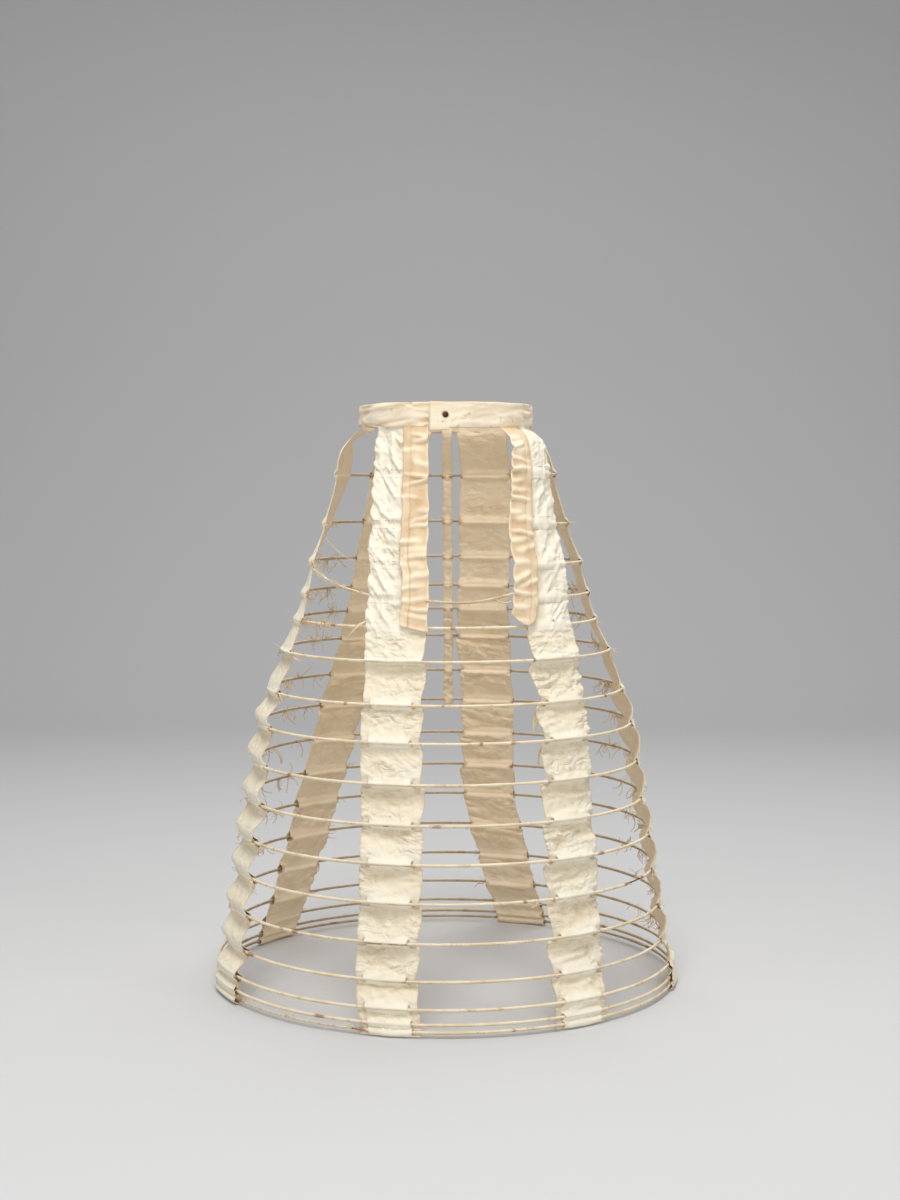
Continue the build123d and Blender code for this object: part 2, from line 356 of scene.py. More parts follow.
# Each cloth's second colour is its aged tone and also its painted shade in hollows; its third colour is
# painted shade for its inner side
TAPE_CLOTH = cotton("tape cotton", linear(249, 241, 221), linear(226, 206, 168), linear(244, 214, 172),
                    weave=392, rib="DIAGONAL", relief=0.0006)
PLACKET_CLOTH = cotton("placket cotton", linear(249, 231, 200), linear(200, 160, 112), linear(204, 174, 132),
                       weave=300, rib="Y", relief=0.0004)
BAND_CLOTH = cotton("band cotton", linear(250, 236, 210), linear(222, 194, 154), linear(196, 168, 128),
                    weave=300, rib="X", relief=0.0003)
BRAID = braided("hoop braid", linear(244, 230, 202), linear(224, 202, 164))
THREAD = braided("old thread", linear(234, 216, 182), linear(196, 166, 122))
STITCH = braided("brown stitching", linear(172, 132, 88), linear(130, 92, 56))
FIBRE = braided("brown fibres", linear(218, 194, 156), linear(188, 156, 114))
STEEL = rusted("rusted steel")


def mesh_piece(name, points, faces, material, uv=None, facts=()):
    mesh = bpy.data.meshes.new(name)
    mesh.from_pydata(np.asarray(points).tolist(), [], [[int(k) for k in face] for face in faces])
    if uv is not None:
        layer = mesh.uv_layers.new(name="UVMap")
        corners = np.zeros(len(mesh.loops), int)
        mesh.loops.foreach_get("vertex_index", corners)
        layer.data.foreach_set("uv", np.asarray(uv, float)[corners].ravel())
    for key, values in dict(facts).items():
        made = mesh.attributes.new(key, "FLOAT", "POINT")
        made.data.foreach_set("value", np.asarray(values, np.float32).ravel())
    mesh.materials.append(material)
    mesh.update()
    mesh.shade_smooth()
    return linked(name, mesh)


def shown_mesh(obj):
    bpy.context.view_layer.update()
    return bpy.data.meshes.new_from_object(obj.evaluated_get(bpy.context.evaluated_depsgraph_get()))


def baked(obj):
    """The piece with its modifiers made part of its mesh."""
    mesh = shown_mesh(obj)
    obj.modifiers.clear()
    obj.data = mesh
    return obj


def thickened(obj, thickness):
    cloth = obj.modifiers.new("cloth", "SOLIDIFY")
    cloth.thickness = thickness
    cloth.offset = 0
    return baked(obj)


def put_on(obj, slot, node=None):
    """The piece rides on the cage, in place of a plain solid where one is named."""
    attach(obj, "root")
    if node:
        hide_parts(node)


def grid_faces(rows, columns, gaps=None):
    numbers = np.arange(rows * columns).reshape(rows, columns)
    a, b, c, d = numbers[:-1, :-1], numbers[1:, :-1], numbers[1:, 1:], numbers[:-1, 1:]
    faces = np.stack([a, b, c, d], axis=-1)
    if gaps is not None:
        return faces[~gaps]
    return faces.reshape(-1, 4)


def placed(radius, angle, z):
    turn = np.radians(angle)
    return np.stack([radius * np.sin(turn), -radius * np.cos(turn), z + 0 * radius], axis=-1)


def hoop_path(number, angles):
    return placed(np.full(len(angles), RADIUS[number]), angles, np.full(len(angles), HEIGHT[number]))


def run_along(path):
    """The way along a path to each of its points."""
    return np.concatenate([[0], np.cumsum(np.linalg.norm(np.diff(path, axis=0), axis=1))])


def points_at(path, run, way):
    return np.stack([np.interp(way, run, path[:, k]) for k in range(3)], axis=-1)


# Tapes
POCKET_DROP = 0.0008
LAYER = 0.00034
MOUTH_DEPTH = 0.0019
TAPE_THICKNESS = 0.0005
FOLD_LEVEL = 0.4
FRONT_SWELL = 0.009
SIDE_SWELL = 0.012


def pocket_reach(number):
    """How far a pocket goes up and down from its middle."""
    if number == 6:
        return 0.0036, 0.0032
    above = HEIGHT[number - 1] - HEIGHT[number] if number > 1 else 0.04
    below = HEIGHT[number] - HEIGHT[number + 1] if number < HEM_HOOP else 0.008
    return min(0.0085, 0.5 * above), min(0.0046, 0.48 * below)


def pocket_bulge(number):
    if number == 6:
        return 0.0021
    if number < 6:
        return 0.0024
    return 0.0036 if number < 15 else 0.0028


def strip_edges(name, width, last):
    """The tape's edges across its own plane at its stations, and that plane's angle."""
    levels = [BAND_LOW] + [HEIGHT[n] for n in TAPE_STATIONS if n < last] + [HEIGHT[last]]
    radii = [float(cage_radius(z)) for z in levels]
    lows = [tape_angle(name, z) - half_angle(width, r) for z, r in zip(levels, radii)]
    highs = [tape_angle(name, z) + half_angle(width, r) for z, r in zip(levels, radii)]
    middle = (min(lows) + max(highs)) / 2
    low = [r * math.sin(math.radians(a - middle)) for r, a in zip(radii, lows)]
    high = [r * math.sin(math.radians(a - middle)) for r, a in zip(radii, highs)]
    return np.array(levels), np.array(low), np.array(high), middle


def tape_rows(top, bottom, hoops, fine):
    """The heights of a tape's rows of points, closer at its pockets."""
    heights = [top]
    while heights[-1] > bottom:
        near = min(abs(heights[-1] - HEIGHT[n] + POCKET_DROP) for n in hoops)
        step = 0.0011 if near < 0.006 else (0.0016 if fine else 0.0020)
        if fine and heights[-1] > HEIGHT[6]:
            step = 0.0013
        heights.append(heights[-1] - step)
    return np.array(heights)


def swelling(z, amount):
    """How far the cloth stands out between the band and the first hoop."""
    part = np.clip((BAND_LOW - z) / (BAND_LOW - HEIGHT[1]), 0, 1)
    return amount * np.sin(math.pi * part ** 0.6)


class Tape:
    """A double-woven tape: two layers that part round each hoop.

    hoops run through its pockets, empty ones are left out of theirs, and slits is the margin outside the
    slits that hoops leave by. covered is the side (+1 or -1) under a placket, shut the side where the upper
    pockets lie flat, and below open_from the pockets' ends stand open. sag and upper_sag are shares of the
    way between hoops. roll is how far slack cloth stands out above a hoop, twist how far its edges turn
    between hoops, flare how far each edge spreads there, pinch how much the tape narrows at the band.
    """

    hoops = HOOPS
    empty = ()
    width = TAPE_WIDTH
    columns = 34
    slits = 0.0
    covered = 0
    shut = 0
    open_from = 10
    sag = 0.15
    upper_sag = 0.05
    swell = 0.0
    roll = 0.0
    twist = 0.0
    flare = (0.002, 0.002)
    pinch = 0.0
    puff = 1.0
    hem_puff = 0.0
    ridge = 0.0019
    creased = 1.0
    crumple = 0.0
    slant = -52
    waves = 0.0
    ripple = 0.0125
    spots = ()

    def __init__(self, name, seed, **settings):
        self.name = name
        self.seed = seed
        for key, value in settings.items():
            setattr(self, key, value)
        self.set_grid()
        self.open_pockets()
        self.hang()
        self.fold()
        self.find_edges()
        self.part_layers()
        self.points = placed(self.radius + self.folds + self.out, self.angle, self.z)
        self.build()

    def set_grid(self):
        self.last = self.hoops[-1]
        bottom = HEIGHT[self.last] - 0.98 * (pocket_reach(self.last)[1] + POCKET_DROP)
        self.rows = tape_rows(BAND_LOW + 0.010, bottom, HOOPS[:self.last], self.crumple > 0)
        self.z, self.u = np.meshgrid(self.rows, np.linspace(0, 1, self.columns), indexing="ij")
        self.across = (self.u - 0.5) * self.width
        self.beside = np.abs(self.across)
        self.levels = np.array([BAND_LOW] + [HEIGHT[n] for n in self.hoops])
        self.span = np.clip(np.searchsorted(-self.levels, -self.z, side="right") - 1, 0, len(self.levels) - 2)
        self.length = self.levels[self.span] - self.levels[self.span + 1]
        self.fall = np.clip((self.levels[self.span] - self.z) / self.length, 0, 1)
        self.droop = np.sin(math.pi * self.fall ** 0.5)
        self.upper = smooth(HEIGHT[6] + 0.012, HEIGHT[5] + 0.012, self.z)

    def open_pockets(self):
        """lens is 1 in a pocket's middle, bulge its outer layer's height, mouths where hoops come out."""
        self.lens, self.bulge, self.mouths, self.seam = (np.zeros_like(self.z) for _ in range(4))
        for n in self.hoops:
            up, low = pocket_reach(n)
            away = self.z - HEIGHT[n] + POCKET_DROP
            above = np.clip(1 - (away / up) ** 2, 0, 1) ** 1.25
            below = np.clip(1 - (away / low) ** 2, 0, 1) ** 0.55
            pocket = np.where(away > 0, above, below)
            fullness = self.hem_puff if self.hem_puff and n > 14 else self.puff if n > 6 else 1
            self.bulge = np.where(pocket > self.lens, pocket_bulge(n) * fullness * pocket, self.bulge)
            self.lens = np.maximum(self.lens, pocket)
            mouth = np.sqrt(np.clip(1 - ((self.z - HEIGHT[n]) / 0.0031) ** 2, 0, 1))
            if n in OPEN_HOOPS and self.shut:
                mouth = mouth * (self.shut * self.across < 0)
            self.mouths = np.maximum(self.mouths, mouth)
        for n in self.empty:
            self.seam = np.maximum(self.seam, bell(self.z - HEIGHT[n], 0.0035))

    def hang(self):
        """The radius of the cloth's middle, which droops between the hoops."""
        rng = np.random.default_rng(self.seed)
        chord = down(self.z, self.levels, [WAIST_RADIUS - 0.0006] + [RADIUS[n] for n in self.hoops])
        share = np.where(self.levels > HEIGHT[5] - 0.002, self.upper_sag, self.sag)[self.span]
        uneven = (1 + 0.2 * rng.uniform(-1, 1, len(self.levels)))[self.span]
        depth = np.minimum(share * self.length, 0.0115) * uneven
        drift = noise(self.u * 2.5 + self.span * 7.3, self.z * 25, self.seed + 1)
        depth = depth * (1.1 - 0.35 * (2 * self.u - 1) ** 2 + 0.3 * drift)
        slack = np.minimum(1, self.length / 0.035) * smooth(HEIGHT[6] + 0.01, HEIGHT[8], self.z)
        late = np.clip(self.fall / 0.93, 0, 1)
        rolled = self.roll * late ** 3 * (1 - late) / 0.1055
        turned = self.twist * (1 - 2 * self.u) * np.sin(math.pi * self.fall ** 0.8)
        self.radius = chord - depth * self.droop + swelling(self.z, self.swell) + slack * (rolled + turned)

    def fold(self):
        across, z, seed = self.across, self.z, self.seed
        area = (-self.width / 2, self.width / 2, self.rows[-1], self.rows[0])
        folds = creases(across, z, seed + 2, 190, area, tilt=12, spread=26, length=0.016, width=0.0017,
                        depth=0.0011)
        folds *= 1 - 0.5 * self.upper
        folds += 0.0007 * noise(across * 160, z * 160, seed + 3)
        folds += 0.0008 * noise(across * 60, z * 60, seed + 4)
        folds *= self.creased
        panel = self.creased * self.droop * (1 - self.upper)
        folds += 0.0019 * panel * (ridged(across, z, 10, 0.020, 0.0056, seed + 15) - FOLD_LEVEL)
        folds += 0.0015 * panel * (ridged(across, z, -35, 0.013, 0.0044, seed + 18) - FOLD_LEVEL)
        ripples = ridged(across, z, 6, 0.055, self.ripple, seed + 21) - FOLD_LEVEL
        folds += self.waves * (1 - self.lens) * (1 - self.upper) * ripples
        if self.crumple:
            folds += self.big_folds()
        if self.covered:
            under = smooth(0.001, 0.008, self.covered * across)
            under = under * smooth(HEIGHT[5] - 0.012, HEIGHT[5] + 0.004, z)
            folds = folds * (1 - under) + under * np.minimum(0.25 * folds, 0) - 0.0012 * under
        self.folds = folds * (1 - 0.7 * self.lens)

    def big_folds(self):
        """The slanting folds above the sixth hoop and the puckers of empty pockets."""
        across, z, seed = self.across, self.z, self.seed
        zone = (-self.width / 2, self.width / 2, HEIGHT[6], BAND_LOW)
        big = 0.0040 * ridged(across, z, self.slant, 0.034, 0.0105, seed + 5) - 0.0012
        big += 0.0017 * ridged(across, z, self.slant - 14, 0.016, 0.0052, seed + 7)
        big += creases(across, z, seed + 6, 60, zone, tilt=self.slant, spread=18, length=0.02, width=0.0020,
                       depth=0.0016)
        calm = smooth(BAND_LOW, BAND_LOW - 0.02, z) * (1 - 0.7 * self.seam)
        puckers = np.sin(across * 1500 + 3 * noise(across * 90, z * 10, seed + 13))
        return 1.3 * self.crumple * self.upper * big * calm + 0.0006 * self.seam * puckers

    def find_edges(self):
        """The angle of each point, between edges that spread between the hoops."""
        z, level, seed = self.z, 0 * self.u, self.seed
        levels, low, high, middle = strip_edges(self.name, self.width, self.last)
        ragged = 0.0007 * noise(z * 95, level + 0.5, seed + 8) + 0.0007 * self.droop * (1 - self.lens)
        spread = (np.sin(math.pi * self.fall ** 0.45) * (1 - self.lens) - 0.35) * (1 - 0.75 * self.upper)
        spread = spread * (0.7 + 0.5 * noise(self.span * 5.7, level, seed + 25))
        left = down(z, levels, low) + ragged - self.flare[0] * spread
        right = down(z, levels, high) - ragged - 0.0007 * noise(z * 88, level + 9.5, seed + 9)
        right = right + self.flare[1] * spread
        if self.pinch:
            centre = (left + right) / 2
            narrow = 1 - self.pinch * bell(z - BAND_LOW + 0.010, 0.011)
            left, right = centre + (left - centre) * narrow, centre + (right - centre) * narrow
        strip = left + self.u * (right - left)
        self.angle = middle + np.degrees(np.arcsin(np.clip(strip / self.radius, -1, 1)))

    def part_layers(self):
        """How far the outer and the inner layer lie from the cloth's middle, and where slits open."""
        edge = self.width / 2 - self.slits
        tight = smooth(edge - 0.007, edge - 0.001, self.beside)
        if not self.slits:
            tight = tight * smooth(HEIGHT[self.open_from] - 0.01, HEIGHT[self.open_from] + 0.01, self.z)
        ends = MOUTH_DEPTH * self.mouths * tight
        self.out = LAYER + self.bulge * (1 - tight) + ends
        self.back = -LAYER - self.ridge * self.lens * (1 - tight) - ends
        self.gaps = None
        if self.slits:
            margin = (self.beside > edge) & (self.z < HEIGHT[6] - 0.01)
            self.out = np.where(margin, LAYER - 0.0026 * self.lens, self.out)
            self.back = np.where(margin, -LAYER - 0.0027 * self.lens, self.back)
            line = margin[:, 1:] != margin[:, :-1]
            deep = (self.mouths[:-1] > 0.3) | (self.mouths[1:] > 0.3)
            self.gaps = line[:-1] & (deep[:, 1:] | deep[:, :-1])

    def marks(self):
        """What the cloth's finish reads, for the outer and the inner layer, painted shade among it."""
        across, z, seed, edge = self.across, self.z, self.seed, self.width / 2
        mouth = 0.9 * smooth(edge - 0.009, edge - 0.001, self.beside)
        if self.slits:
            mouth = 0.55 * bell(self.beside - edge + self.slits, 0.003)
        stain = self.lens * mouth * (0.5 + 0.4 * noise(self.span * 3.1, across * 40, seed + 10))
        stain += 0.25 * self.seam * (noise(across * 300, z * 300, seed + 11) > 0.2)
        for x_spot, z_spot, size in self.spots:
            stain += 1.2 * bell(np.hypot(across - x_spot, z - z_spot), size)
        panel = self.droop * (1 - self.upper)
        # painted shade: darker in the folds' hollows, on the sagging panels and towards the edges
        painted_shade = np.clip(-self.folds / 0.002, 0, 1) * 0.45 + 0.4 * panel * (1 - self.lens)
        painted_shade += 0.25 * smooth(edge - 0.003, edge, self.beside)
        patches = smooth(-0.6, 0.3, noise(self.u * 2.2, z * 45, seed + 27))
        crinkle = self.creased * (0.3 + 0.7 * panel) * (1 - self.lens) * patches
        facts = {"stain": (stain, 0.8), "painted_shade": (painted_shade, 1.0), "crinkle": (crinkle, 0.6)}
        both = {key: np.concatenate([v.ravel(), share * v.ravel()]) for key, (v, share) in facts.items()}
        # painted shade: the inner layer is mixed half way to the inside colour
        both["inner"] = np.repeat([0.0, 0.5], z.size)
        return both

    def build(self):
        inner = placed(self.radius + self.folds + self.back, self.angle, self.z)
        front = grid_faces(len(self.rows), self.columns, self.gaps)
        rear = grid_faces(len(self.rows), self.columns)[:, ::-1] + self.z.size
        uv = np.stack([self.across + 0.5, -self.z], axis=-1).reshape(-1, 2)
        points = np.concatenate([self.points.reshape(-1, 3), inner.reshape(-1, 3)])
        obj = mesh_piece(self.name + "_cloth", points, np.concatenate([front, rear]), TAPE_CLOTH,
                         np.concatenate([uv, uv]), self.marks())
        thickened(obj, TAPE_THICKNESS)
        put_on(obj, "tape_cotton", self.name)
        hung = [f"hoop_{n:02d}_cover" for n in self.hoops] + ["waistband"]
        2 * self.width

    def at(self, u, z):
        """A place on the outer face, u across it and z its height."""
        row = float(np.interp(-z, -self.rows, np.arange(len(self.rows))))
        column = u * (self.columns - 1)
        r, c = min(int(row), len(self.rows) - 2), min(int(column), self.columns - 2)
        fr, fc = row - r, column - c
        near = self.points[r, c] * (1 - fc) + self.points[r, c + 1] * fc
        far = self.points[r + 1, c] * (1 - fc) + self.points[r + 1, c + 1] * fc
        return near * (1 - fr) + far * fr


TAPES = {made.name: made for made in (
    Tape("front_left_tape", 11, hoops=HOOPS[4:], empty=OPEN_HOOPS, columns=50, slits=0.009, crumple=1.0,
         sag=0.17, upper_sag=0.012, covered=1, flare=(0.0032, 0.003), puff=0.72),
    Tape("front_right_tape", 23, columns=50, slits=0.008, crumple=0.5, slant=48, sag=0.17, upper_sag=0.02,
         covered=-1, flare=(0.005, 0.004), puff=0.72, waves=0.003, ripple=0.009, swell=FRONT_SWELL,
         spots=[(0.002, HEIGHT[5] + 0.005, 0.0013)]),
    Tape("side_left_tape", 37, sag=0.13, pinch=0.65, flare=(0.002, -0.0065), swell=SIDE_SWELL, shut=1,
         roll=0.0085, twist=0.003, hem_puff=2.0, creased=0.35),
    Tape("side_right_tape", 41, sag=0.05, pinch=0.3, flare=(-0.001, 0.002), swell=FRONT_SWELL, twist=0.0095,
         hem_puff=1.4, creased=0.35, open_from=15),
    Tape("back_left_tape", 53, flare=(0.0036, 0.0036), waves=0.0036, ridge=0.0034),
    Tape("back_right_tape", 67, flare=(0.0036, 0.0036), waves=0.0036, ridge=0.0034),
    Tape("centre_back_tape", 71, hoops=HOOPS[:8], width=BACK_STRIP_WIDTH, columns=9, sag=0.05,
         flare=(0.0006, 0.0006)),
)}


# Hoops
SLEEVE_SIDES = 10
SLEEVE_STEP = 0.0028
REST_RADIUS = 0.00095
REST_SIDES = 8
REST_RINGS = 130
STAINS = {5: [(-45, 2)], 6: [(30, 0.6)], 7: [(60, 1)], 8: [(10, 0.6)], 9: [(-50, 0.9)], 11: [(45, 1.2)],
          12: [(55, 1.5), (64.5, 1.5), (20, 0.5)], 13: [(-40, 1.2)], 14: [(-57, 2)], 16: [(-30, 1.5)],
          17: [(-58, 2), (-20, 2)]}


def tube(path, radii, sides, closed):
    """Points, faces and uv of a tube along a path of points; an open one has caps."""
    path = np.asarray(path, float)
    ahead = np.roll(path, -1, 0) - np.roll(path, 1, 0)
    if not closed:
        ahead[0] = path[1] - path[0]
        ahead[-1] = path[-1] - path[-2]
    ahead /= np.linalg.norm(ahead, axis=1)[:, None]
    side = np.cross(ahead, (0.0, 0.0, 1.0))
    side /= np.linalg.norm(side, axis=1)[:, None]
    up = np.cross(side, ahead)
    turn = np.linspace(0, 2 * math.pi, sides, endpoint=False)
    ring = np.cos(turn)[None, :, None] * side[:, None] + np.sin(turn)[None, :, None] * up[:, None]
    points = path[:, None] + ring * np.asarray(radii)[:, None, None]
    numbers = np.arange(len(path) * sides).reshape(len(path), sides)
    after = np.roll(numbers, -1, 0) if closed else numbers[1:]
    here = numbers if closed else numbers[:-1]
    faces = np.stack([here, np.roll(here, -1, 1), np.roll(after, -1, 1), after], axis=-1)
    faces = faces.reshape(-1, 4).tolist()
    if not closed:
        faces += [numbers[0][::-1].tolist(), numbers[-1].tolist()]
    around = np.linspace(0, 1, sides)[None, :]
    uv = np.stack(np.broadcast_arrays(around, run_along(path)[:, None]), axis=-1).reshape(-1, 2)
    return points.reshape(-1, 3), faces, uv


def hoop_ends(number):
    if number in BARE_ANGLES:
        return BARE_ANGLES[number][1], 360 + BARE_ANGLES[number][0]
    if number in OPEN_HOOPS:
        reach = 0.6 * half_angle(TAPE_WIDTH, RADIUS[number])
        start = tape_angle("front_right_tape", HEIGHT[number]) - reach
        return start, 360 + tape_angle("side_left_tape", HEIGHT[number]) + reach
    if number == 5:
        return BREAK_ANGLES[1], 360 + BREAK_ANGLES[0]
    return 0, 360


def degrees_from(angles, middle):
    return (angles - middle + 180) % 360 - 180


def sleeve_stain(number, angles, run):
    stain = 0.4 * smooth(0.45, 0.7, noise(run * 130, number * 3, 7))
    stain = stain + 0.3 * smooth(0.5, 0.8, noise(run * 40, number, 9))
    for middle, half in STAINS.get(number, []):
        stain = np.maximum(stain, bell(degrees_from(angles, middle), half))
    half = half_angle(TAPE_WIDTH, RADIUS[number])
    for name, made in TAPES.items():
        if number in made.hoops:
            centre = tape_angle(name, HEIGHT[number])
            for edge in (centre - half, centre + half):
                mark = 0.5 * bell(degrees_from(angles, edge), 0.9) * (noise(centre, number, 8) + 0.5)
                stain = np.maximum(stain, mark)
    return stain


def worn_rest(number):
    """What is left of the sleeve along a bare stretch: a thin stained tube."""
    start, end = BARE_ANGLES[number]
    angles = np.linspace(start + 0.6, end - 0.6, REST_RINGS)
    radii = REST_RADIUS * (1 + 0.12 * noise(angles * 2.3, 1, 51))
    points, faces, uv = tube(hoop_path(number, angles), radii, REST_SIDES, False)
    return points, faces, uv, np.repeat(0.4 + 0.1 * noise(angles * 1.7, 2, 52), REST_SIDES)


def hoop_cover(number):
    start, end = hoop_ends(number)
    closed = end - start == 360
    count = int(math.radians(end - start) * RADIUS[number] / SLEEVE_STEP)
    angles = np.linspace(start, end, count, endpoint=not closed)
    run = np.radians(angles) * RADIUS[number]
    radii = COVER_RADIUS * (1 + 0.07 * noise(run * 90, number, 5) + 0.05 * noise(run * 400, number, 6))
    if not closed:
        tip = np.minimum(run - run[0], run[-1] - run)
        radii = radii * (0.62 + 0.38 * smooth(0, 0.006, tip))
    points, faces, uv = tube(hoop_path(number, angles), radii, SLEEVE_SIDES, closed)
    stain = np.repeat(sleeve_stain(number, angles, run), SLEEVE_SIDES)
    if number == HEM_HOOP:
        rest, rest_faces, rest_uv, rest_stain = worn_rest(number)
        faces = faces + [[k + len(points) for k in face] for face in rest_faces]
        points, uv = np.concatenate([points, rest]), np.concatenate([uv, rest_uv])
        stain = np.concatenate([stain, rest_stain])
    # painted shade: the sleeve's side that faces into the cage
    inner = smooth(0, -0.0014, np.hypot(points[:, 0], points[:, 1]) - RADIUS[number])
    name = f"hoop_{number:02d}_cover"
    obj = mesh_piece(name + "_braid", points, faces, BRAID, uv, {"stain": stain, "inner": inner})
    put_on(obj, "hoop_braid", name)


def steel(node):
    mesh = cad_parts[node].data
    mesh.materials.clear()
    mesh.materials.append(STEEL)


for n in HOOPS:
    hoop_cover(n)
    steel(f"hoop_{n:02d}_wire")
steel("waist_stud")


# Waistband
def band_edges(angle, run, x, lap):
    """The band's lower and upper edge: the tab hangs lower, and the sides are drawn up."""
    tab = lap * (1 - smooth(0.0035, 0.0052, x)) * (angle < -345)
    high = BAND_HIGH + 0.0008 * noise(run * 40, 0, 3) - 0.0008
    low = BAND_LOW + 0.0006 * noise(run * 35, 4, 4) - 0.0028 * tab
    drawn = 0.0048 - 0.0012 * np.sign(np.sin(np.radians(angle)))
    return low + drawn * smooth(0.05, 0.095, np.abs(x)), high


def band_folds(angle, run, x, z):
    front = np.cos(np.radians(angle)) > 0
    flat = 0.85 * bell(x, 0.009) * front * bell(z, 0.009)
    area = (run.min(), run.max(), BAND_LOW, BAND_HIGH)
    folds = creases(run, z, 15, 120, area, tilt=2, spread=9, length=0.035, width=0.0022, depth=0.0011)
    folds += 0.0008 * noise(run * 55, z * 90, 16) + 0.0007 * smooth(0.0075, 0.006, z) - 0.0004
    return folds * (1 - flat) * (1 - 0.5 * smooth(-320, -340, angle)) * (1 - 0.5 * smooth(-22, 12, angle))


def band_marks(angle, level, run, x, z, folds, side):
    front = np.cos(np.radians(angle)) > 0
    # painted shade: darker in the creases, along the line under the folded top and at the rolled edges
    painted_shade = np.clip(-folds / 0.0009, 0, 1) * 0.65 + 0.45 * bell(z - 0.0068, 0.0009)
    painted_shade += 0.5 * smooth(0.92, 1.0, np.abs(level))
    stain = 0.95 * bell(x, 0.0042) * bell(z, 0.004) * front
    stain += 0.35 * (noise(run * 160, z * 160, 18) > 0.72)
    # the inner side gets painted shade
    return {"painted_shade": np.clip(painted_shade, 0, 1), "stain": stain, "inner": 0.5 * (side < 0)}


def waistband():
    """A doubled strip round the waist, its right end lapped over its left as a tab."""
    under, over = BAND_ENDS
    rise = np.linspace(-1, 1, 22)
    angle, level = np.meshgrid(np.linspace(under, over, 386), np.concatenate([rise, -rise]), indexing="ij")
    side = np.broadcast_to(np.repeat([1.0, -1.0], len(rise)), angle.shape)
    lap = smooth(-336, -345, angle)
    middle = WAIST_RADIUS + (BAND_THICKNESS + 0.0003) * lap
    run = np.radians(angle) * WAIST_RADIUS
    x = middle * np.sin(np.radians(angle))
    low, high = band_edges(angle, run, x, lap)
    z = low + (level + 1) / 2 * (high - low)
    folds = band_folds(angle, run, x, z)
    shell = BAND_THICKNESS / 2 * (0.35 + 0.65 * np.sqrt(np.clip(1 - np.abs(level) ** 8, 0, 1)))
    points = placed(middle + np.clip(folds, -0.0011, 0.0016) + side * shell, angle, z)
    numbers = np.arange(angle.size).reshape(angle.shape)
    across = np.roll(numbers, -1, 1)
    faces = np.stack([numbers[:-1], across[:-1], across[1:], numbers[1:]], axis=-1).reshape(-1, 4).tolist()
    faces += [numbers[0][::-1].tolist(), numbers[-1].tolist()]
    uv = np.stack([run + 1, z], axis=-1).reshape(-1, 2)
    obj = mesh_piece("waistband_cloth", points.reshape(-1, 3), faces, BAND_CLOTH, uv,
                     band_marks(angle, level, run, x, z, folds, side))
    put_on(obj, "band_cotton", "waistband")


waistband()


# Plackets
PLACKET_ROWS = 150
PLACKET_COLUMNS = 24
PLACKET_THICKNESS = 0.0009
PLACKET_TOP = BAND_LOW + 0.003


def puckers(u, across, z, foot, seed):
    """The heights of a placket's puckers, which reach in from one edge or the other."""
    rng = np.random.default_rng(seed)
    total = np.zeros_like(z)
    height = PLACKET_TOP
    while height > foot:
        height -= rng.uniform(0.006, 0.016)
        wide = rng.uniform(0.0016, 0.0034)
        tilt = rng.normal(0, 0.22)
        reach = smooth(rng.uniform(-0.3, 0.35), rng.uniform(0.5, 0.9), u)
        if rng.random() < 0.3:
            reach = smooth(rng.uniform(0.9, 1.2), rng.uniform(0.3, 0.6), u)
        q = z - height - tilt * (across - PLACKET_WIDTH / 2)
        q = q + 0.0012 * noise(across * 120, height * 900, seed + 2)
        total += rng.uniform(0.0016, 0.0044) * reach * bell(q, wide)
    total += 0.0004 * (1 + noise(across * 130, z * 130, seed + 3))
    return total + 0.0006 * (1 + noise(across * 60, z * 50, seed + 4))


def placket(name, tape_name, side, overhang, line, seed, foot, swell=0.0):
    """A strip over a front tape's inner edge; foot gives its lower end's height across it, from 0 to 1."""
    steps, shares = np.linspace(0, 1, PLACKET_ROWS), np.linspace(0, 1, PLACKET_COLUMNS)
    fall, u = np.meshgrid(steps, shares, indexing="ij")
    z = PLACKET_TOP + fall * (foot(u) - PLACKET_TOP)
    radius = down(z, [p[1] for p in line], [p[0] for p in line]) + swelling(z, swell)
    levels, low, high, middle = strip_edges(tape_name, TAPE_WIDTH, HEM_HOOP)
    edge = down(z, levels, high if side > 0 else low) + side * np.interp(fall, [0, 1], overhang)
    edge = edge + 0.0014 * noise(z * 70, 0, seed) * smooth(0, 0.1, fall)
    strip = edge - side * (1 - u) * PLACKET_WIDTH * (1 + 0.03 * noise(z * 50, 3, seed + 1))
    angle = middle + np.degrees(np.arcsin(strip / radius))
    across = u * PLACKET_WIDTH
    join = bell(u - 0.3, 0.035)
    raised = puckers(u, across, z, foot(0.5), seed) * smooth(0, 0.02, fall) * (1 - 0.45 * join)
    join = join * smooth(0.3, 0.5, fall) * (side > 0)
    # painted shade: darker between the puckers and along the join, less so at the outer edge
    painted_shade = np.clip(0.95 - raised / 0.0024, 0, 1) * 0.9 + 0.3 * join
    painted_shade = painted_shade * (1 - 0.8 * smooth(0.93, 0.97, u))
    stain = 0.3 * (noise(across * 300, z * 300, seed + 5) > 0.75)
    points = placed(radius + raised, angle, z)
    uv = np.stack([across, -z], axis=-1).reshape(-1, 2)
    obj = mesh_piece(name + "_cloth", points.reshape(-1, 3), grid_faces(PLACKET_ROWS, PLACKET_COLUMNS),
                     PLACKET_CLOTH, uv, {"painted_shade": painted_shade, "stain": stain, "inner": np.zeros_like(z)})
    thickened(obj, PLACKET_THICKNESS)
    put_on(obj, "placket_cotton", name)
    tall = float(PLACKET_TOP - z.min())
    return points


def left_foot(u):
    return HEIGHT[5] + 0.003 - 0.007 * np.asarray(u)


def right_foot(u):
    return HEIGHT[5] + 0.002 + 0.045 * (np.asarray(u) - 0.45) ** 2


